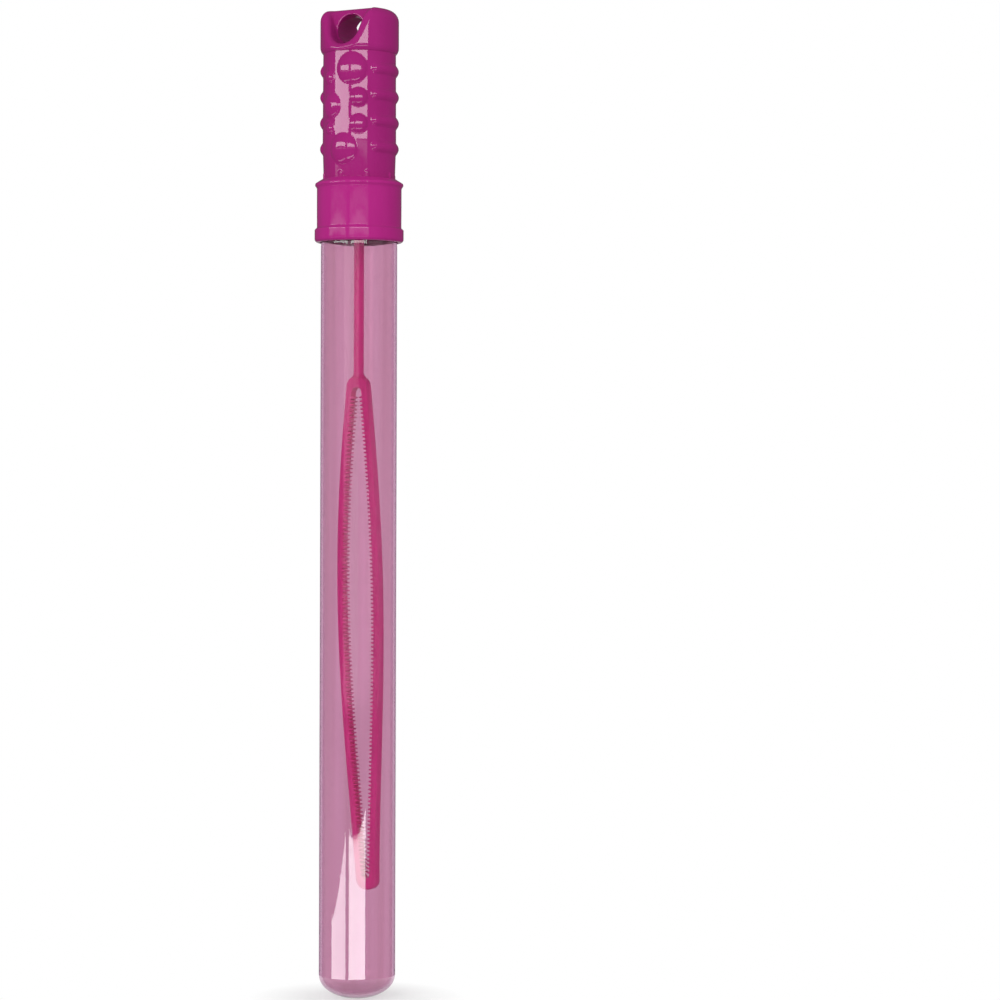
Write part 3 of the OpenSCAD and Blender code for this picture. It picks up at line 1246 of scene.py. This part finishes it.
    def grip(self) -> Piece:
        """Model the grip: a fine cylinder whose skin is raised into ribs, bubbles and fins.

        Returns:
            The grip, a closed sleeve.
        """
        low, high = self.collar_top - self.overlap, self.head_z + self.overlap
        grip = Workbench.cylinder("cap_grip", self.grip_r, high - low, (0, 0, (low + high) / 2),
                                  self.grip_sides, end_fill_type="NOTHING")
        with Workbench.editing(grip):
            for _ in range(2):
                Workbench.pick(grip, Domain.EDGE,
                               lambda e: abs(e.verts[0].co.z - e.verts[1].co.z) > 0.01 * MM)
                bpy.ops.mesh.subdivide(number_cuts=self.grip_cuts)
        Workbench.reskin(grip, lambda radius, angle, z: self.grip_skin(angle, z))
        Workbench.apply(grip, "SMOOTH", factor=0.5, iterations=self.grip_soften)
        with Workbench.editing(grip):
            shrink = self.well_r / self.grip_r
            Workbench.pick(grip, Domain.EDGE, lambda e: e.is_boundary and e.verts[0].co.z > self.head_z * MM)
            bpy.ops.mesh.extrude_region_move()
            bpy.ops.transform.resize(value=(shrink, shrink, 1), center_override=(0, 0, high * MM))
            bpy.ops.mesh.extrude_region_move(TRANSFORM_OT_translate={"value": (0, 0, (low - high) * MM)})
            bpy.ops.mesh.select_all(action="DESELECT")
            bpy.ops.mesh.select_non_manifold(extend=False)
            bpy.ops.mesh.bridge_edge_loops()
        Workbench.mend(grip)
        Workbench.shade(grip, self.grip_crisp)
        return grip

    def head_field(self, points: np.ndarray) -> np.ndarray:
        """Signed distance from the head's skin, with every edge rounded.

        Args:
            points: Points to measure, one row each.

        Returns:
            The distance at each point, negative inside.
        """
        x, z = points[:, 0], points[:, 2]
        y = np.abs(points[:, 1])
        slope, flare = math.radians(self.face_slope), math.radians(self.notch_flare)
        side = np.hypot(x, y) - self.head_r
        face = (y - self.face_reach) * math.cos(slope) + (z - self.head_z) * math.sin(slope)
        body = rounded_cut(side, face, self.face_round)
        body = rounded_cut(body, z - self.sizes.top_z, self.head_round)
        over = (z - self.head_low - self.lip_h) * self.lip_in
        lip = (side * self.lip_h - over) / math.hypot(self.lip_h, self.lip_in)
        body = rounded_cut(rounded_cut(body, lip, self.lip_round), self.head_low - z, self.under_round)
        radius = self.notch_r + self.notch_draft * np.maximum(y - self.web_half, 0.0)
        rise = z - self.notch_low - radius
        wall = np.abs(x) * math.cos(flare) - rise * math.sin(flare) - radius
        bowl = np.hypot(x, rise) - radius
        notch = np.where(np.abs(x) * math.sin(flare) + rise * math.cos(flare) > 0, wall, bowl)
        web = self.web_half - self.web_draft * (z - self.eye_z) - y
        body = rounded_cut(body, -rounded_cut(notch, web, self.web_round), self.notch_round)
        return rounded_cut(body, self.eye_r - np.hypot(x, z - self.eye_z), self.eye_round)

    def head(self) -> Piece:
        """Model the head: a slanted blank with two notches and an eye, then softened on all edges.

        Returns:
            The head.
        """
        low, top, r = self.head_low, self.sizes.top_z, self.head_r
        head = Workbench.cylinder("cap_head", r, top - low, (0, 0, (low + top) / 2), self.head_sides)
        slope = math.radians(self.face_slope)
        lying = (math.pi / 2, 0, 0)
        with Workbench.editing(head):
            for way in (-1, 1):
                bpy.ops.mesh.select_all(action="SELECT")
                bpy.ops.mesh.bisect(plane_co=(0, way * r * MM, low * MM),
                                    plane_no=(0, way * math.cos(slope), math.sin(slope)),
                                    use_fill=True, clear_outer=True)
        for way in (-1, 1):
            centre = (0, way * (self.web_half + self.notch_deep / 2), self.notch_low + self.notch_r)
            tool = Workbench.cylinder("notch_tool", self.notch_r, self.notch_deep, centre, self.tool_sides,
                                      rotation=lying)
            with Workbench.editing(tool):
                Workbench.pick(tool, Domain.VERT, lambda v: v.co.z > (self.eye_z + 0.3) * MM)
                bpy.ops.transform.translate(value=(0, 0, self.notch_lift * MM))
                bpy.ops.transform.resize(value=(self.notch_widen, 1, 1), center_override=(0, 0, 0))
            Workbench.cut(head, tool)
        eye = Workbench.cylinder("eye_tool", self.eye_r, self.eye_deep, (0, 0, self.eye_z), self.tool_sides,
                                 rotation=lying)
        Workbench.cut(head, eye)
        Workbench.apply(head, "REMESH", mode="VOXEL", voxel_size=self.voxel * MM)
        Workbench.apply(head, "SMOOTH", factor=0.5, iterations=self.head_soften)
        points = Workbench.points(head)
        for _ in range(self.skin_steps):
            points = self.drawn_to_skin(points)
        Workbench.reshape(head, points)
        Workbench.mend(head)
        Workbench.shade(head)
        return head

    def drawn_to_skin(self, points: np.ndarray) -> np.ndarray:
        """Move points one step towards the head's skin.

        Args:
            points: The points, one row each.

        Returns:
            The moved points.
        """
        step, far = self.skin_probe, self.skin_farthest
        here = self.head_field(points)
        slopes = [(self.head_field(points + step * axis) - here) / step for axis in np.eye(3)]
        slope = np.stack(slopes, axis=1)
        move = here / np.maximum((slope ** 2).sum(axis=1), self.skin_flattest)
        return points - np.clip(move, -far, far)[:, None] * slope

    def inside(self) -> Piece:
        """Model the socket for the stem and the crossed webs that hold it.

        Returns:
            The socket with its webs.
        """
        low, roof, bore = self.socket_z, self.sizes.plug_z, self.socket_bore
        outline = [(bore, roof + 2.0), (bore, low + 0.3), (bore + 0.25, low)]
        outline += arc((self.socket_r - 0.3, low + 0.3), 0.3, -90, 0, 4)
        outline += [(self.socket_r, self.roof_z), (self.socket_r, roof + 3.9)]
        socket = Workbench.turn("cap_socket", outline, self.socket_sides)
        webs = []
        for way in ((1, 0), (0, 1)):
            x, y = (self.well_r + 0.3 if on else self.web_t / 2 for on in way)
            web = Workbench.block("web", (-x, -y, self.roof_z + 1.0), (x, y, self.head_z + 1.0))
            Workbench.bevel(web, self.web_edge, 2, 30)
            tool = Workbench.block("web_tool", (-bore, -bore, self.roof_z), (bore, bore, roof + 2.0))
            Workbench.cut(web, tool)
            webs.append(web)
        socket = Workbench.join([socket, *webs])
        Workbench.shade(socket, self.socket_crisp)
        return socket

    def build(self) -> None:
        """Model the cap's pieces."""
        # The collar gets the lighter copy of the cap plastic, which paints in the extra light it catches.
        self.mount(self.collar(), self.lit_collar_material)
        for piece in (self.grip(), self.head(), self.inside()):
            self.mount(piece)


@dataclass(frozen=True)
class StripLamp:
    """Upright softbox, given by where it shows on the object's upright walls."""

    name: str
    azimuth: float
    spread: float
    low: float
    high: float
    radiance: float
    roll: float = 0.0


@dataclass(frozen=True)
class Studio:
    """Camera, lamps, floor and background of the picture."""

    distance: float = 1150.0
    eye_level: float = 186.75
    aside: float = 53.12
    azimuth: float = 29.3
    sight: float = 32.0
    roll: float = -0.17
    lens: float = 110.4
    sensor: float = 36.0
    lamp_distance: float = 1000.0
    soft_lights: tuple[tuple[str, float, float], ...] = (("key", 8.0, 2.45), ("fill", 88.0, 0.9))
    soft_distance: float = 1600.0
    soft_height: float = 700.0
    soft_size: Point = (1400.0, 1400.0)
    even_light: float = 0.45
    floor_reach: float = 58.0
    floor_gap: float = 0.02
    floor_sides: int = 96

    tent_reach: float = 2400.0
    tent_sides: int = 72
    tent_glow: Span = (0.07, 0.1)
    card_reach: float = 2000.0
    card_width: float = 1000.0
    card_heights: Span = (-522.0, 478.0)
    card_glow: Span = (0.34, 0.4)
    net_reach: float = 400.0
    net_spare: float = 2.2
    net_heights: Span = (50.0, 215.0)
    net_share: Span = (0.2, 0.3)

    left: Point = (sight - 59.0, 24.0)
    front: Point = (sight - 0.5, 24.8)
    strips: tuple[StripLamp, ...] = (
        StripLamp("left_low", *left, -38.0, 41.0, 9.0, 4.2),
        StripLamp("left_collar", *left, 286.0, 293.0, 1.5),
        StripLamp("left_edge", *left, 296.5, 302.0, 0.4),
        StripLamp("left_high", *left, 316.0, 398.0, 6.2),
        StripLamp("front_low", *front, -14.0, 62.0, 12.0, 1.05),
        StripLamp("front_collar", *front, 286.0, 293.0, 1.4),
        StripLamp("front_edge", *front, 296.0, 302.5, 0.65),
        StripLamp("front_high", *front, 316.0, 398.0, 6.2),
    )

    def camera(self) -> None:
        """Add the camera that matches the photo."""
        turn = math.radians(self.azimuth)
        back = Vector((math.sin(turn), -math.cos(turn), 0))
        right = Vector((math.cos(turn), math.sin(turn), 0))
        spot = back * self.distance + right * self.aside + Vector((0, 0, self.eye_level))
        Workbench.clear()
        bpy.ops.object.camera_add(location=spot * MM, rotation=(math.pi / 2, math.radians(self.roll), turn))
        camera = bpy.context.object
        camera.name = "photo_camera"
        camera.data.lens = self.lens
        camera.data.sensor_width = self.sensor
        camera.data.clip_start = 0.01
        bpy.context.scene.camera = camera

    def strip(self, strip: StripLamp) -> None:
        """Add one softbox that is seen in glossy surfaces only.

        Args:
            strip: The softbox.
        """
        reach = self.lamp_distance / self.distance
        low, high = (z + (z - self.eye_level) * reach for z in (strip.low, strip.high))
        width = 2 * self.lamp_distance * math.tan(math.radians(strip.spread))
        lamp = self.lamp(strip.name, strip.azimuth, self.lamp_distance, (low + high) / 2,
                         (width, high - low), strip.radiance)
        lamp.rotation_euler.rotate_axis("Z", math.radians(strip.roll))
        self.hide(lamp, "diffuse", "transmission")

    @staticmethod
    def hide(piece: Piece, *rays: str) -> None:
        """Hide a lamp or cloth from some kinds of ray."""
        for ray in rays:
            setattr(piece, f"visible_{ray}", False)

    @staticmethod
    def facing(azimuth: float, distance: float, height: float) -> dict[str, object]:
        """Place and turn of something upright that faces the object.

        Args:
            azimuth: Direction from the object in degrees, 0 being in front.
            distance: Distance from the object's axis.
            height: Height of its middle.

        Returns:
            The options of the operator that adds it.
        """
        turn = math.radians(azimuth)
        spot = Vector((math.sin(turn) * distance, -math.cos(turn) * distance, height)) * MM
        return {"location": spot, "rotation": (math.pi / 2, 0, turn)}

    def lamp(self, name: str, azimuth: float, distance: float, height: float, size: Point, radiance: float
             ) -> Piece:
        """Add an area lamp that faces the object.

        Args:
            name: Name of the lamp.
            azimuth: Direction from the object in degrees, 0 being in front.
            distance: Distance from the object's axis.
            height: Height of its middle.
            size: Width and height.
            radiance: Brightness of its face, 1 being white.

        Returns:
            The lamp.
        """
        Workbench.clear()
        bpy.ops.object.light_add(type="AREA", **self.facing(azimuth, distance, height))
        lamp = bpy.context.object
        lamp.name = name
        lamp.data.shape = "RECTANGLE"
        lamp.data.size = size[0] * MM
        lamp.data.size_y = size[1] * MM
        lamp.data.energy = radiance * math.pi * size[0] * size[1] * MM * MM
        self.hide(lamp, "camera")
        return lamp

    def lights(self) -> None:
        """Add the softboxes, which gloss shows, and the soft key and fill lights, which it doesn't."""
        for strip in self.strips:
            self.strip(strip)
        for name, azimuth, radiance in self.soft_lights:
            lamp = self.lamp(name, azimuth, self.soft_distance, self.soft_height, self.soft_size, radiance)
            self.hide(lamp, "glossy")

    def world(self) -> None:
        """White background for the eye, gloss and clear plastic, and a softer even light."""
        world = bpy.data.worlds.new("studio")
        world.use_nodes = True
        bpy.context.scene.world = world
        board = NodeBoard(world.node_tree)
        lights = []
        for strength in (self.even_light, 1.0):
            light = board.add("ShaderNodeBackground", Color=(1, 1, 1, 1), Strength=strength)
            lights.append(light.outputs["Background"])
        board.add("ShaderNodeOutputWorld", Surface=board.mix(board.seen(), *lights))

    def tent(self) -> None:
        """Add the dark studio tent that gloss shows all round, and the grey card behind the tube."""
        Workbench.clear()
        bpy.ops.mesh.primitive_uv_sphere_add(segments=self.tent_sides, ring_count=self.tent_sides // 2,
                                             radius=self.tent_reach * MM)
        self.hang(Workbench.settle("studio_tent"), *self.tent_glow)
        card = self.upright("studio_card", self.sight + 180, self.card_reach, self.card_width,
                            self.card_heights)
        self.hang(card, *self.card_glow)

    def nets(self) -> None:
        """Add the nets that keep the low softboxes from glaring on the cap."""
        for name, (azimuth, spread) in (("left_net", self.left), ("front_net", self.front)):
            width = self.net_spare * self.net_reach * math.tan(math.radians(spread))
            net = self.upright(name, azimuth, self.net_reach, width, self.net_heights)
            self.hang(net, *self.net_share, glows=False)

    @staticmethod
    def upright(name: str, azimuth: float, reach: float, width: float, heights: Span) -> Piece:
        """Add an upright cloth that faces the object.

        Args:
            name: Name of the cloth.
            azimuth: Direction from the object in degrees, 0 being in front.
            reach: Distance from the object's axis.
            width: Its width.
            heights: Heights of its lower and upper edge.

        Returns:
            The cloth.
        """
        low, high = heights
        Workbench.clear()
        bpy.ops.mesh.primitive_plane_add(size=1, **Studio.facing(azimuth, reach, (low + high) / 2))
        bpy.context.object.scale = (width * MM, (high - low) * MM, 1)
        return Workbench.settle(name)

    @staticmethod
    def hang(piece: Piece, dark: float, light: float, glows: bool = True) -> None:
        """Make a cloth of the studio that only gloss shows.

        Args:
            piece: The cloth.
            dark: Its lowest brightness.
            light: Its highest brightness.
            glows: Whether it is lit, or else a net that lets that share of the light through.
        """
        material, board = new_board(f"{piece.name}_cloth")
        cloth = board.tint(board.noise(board.coordinates(), 3.0), (dark,) * 3, (light,) * 3)
        if glows:
            surface = board.add("ShaderNodeEmission", Color=cloth, Strength=1.0)
        else:
            surface = board.add("ShaderNodeBsdfTransparent", Color=cloth)
        board.add("ShaderNodeOutputMaterial", Surface=surface.outputs[0])
        piece.data.materials.append(material)
        Studio.hide(piece, "camera", "diffuse", "transmission", "shadow")

    def floor(self) -> None:
        """Add the pale floor under the tube's foot."""
        Workbench.clear()
        bpy.ops.mesh.primitive_circle_add(vertices=self.floor_sides, radius=self.floor_reach * MM,
                                          fill_type="NGON", location=(0, 0, -self.floor_gap * MM))
        floor = Workbench.settle("studio_floor")
        floor.data.materials.append(PaleFloor("pale_floor", self.floor_reach).material())

    def build(self) -> None:
        """Set up the studio."""
        bpy.context.scene.view_settings.view_transform = "Standard"
        self.camera()
        self.lights()
        self.world()
        self.tent()
        self.nets()
        self.floor()


def main() -> None:
    """Build the wand and its studio, and log the pieces' face counts."""
    logging.basicConfig(level=logging.INFO, format="%(name)s %(message)s")
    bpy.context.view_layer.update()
    sizes = Sizes.from_frame()
    clear = ClearPlastic("clear_mauve", thin=(0.75, 0.5, 0.64), thick=(0.68, 0.44, 0.55),
                         rim=(0.52, 0.22, 0.42))
    cap = MouldedPlastic("cap_magenta", deep=(0.39, 0.017, 0.19), bright=(0.43, 0.021, 0.215))
    # The collar's plastic is the cap's colour made lighter: painted light, not a different plastic.
    thin = MouldedPlastic("collar_magenta_lit", deep=(0.48, 0.021, 0.235), bright=(0.53, 0.025, 0.265))
    wand = MouldedPlastic("wand_magenta", deep=(0.84, 0.055, 0.37), bright=(0.9, 0.072, 0.42),
                          gloss=(0.12, 0.2), specular=0.15)
    foam = FoamLiner("washer_liner", shade=(0.72, 0.72, 0.7), light=(0.8, 0.8, 0.78))
    TubeAssembly(sizes, clear.material()).build()
    WasherAssembly(sizes, foam.material()).build()
    WandAssembly(sizes, wand.material()).build()
    CapAssembly(sizes, cap.material(), lit_collar_material=thin.material()).build()
    Studio().build()


if __name__ == "__main__":
    main()
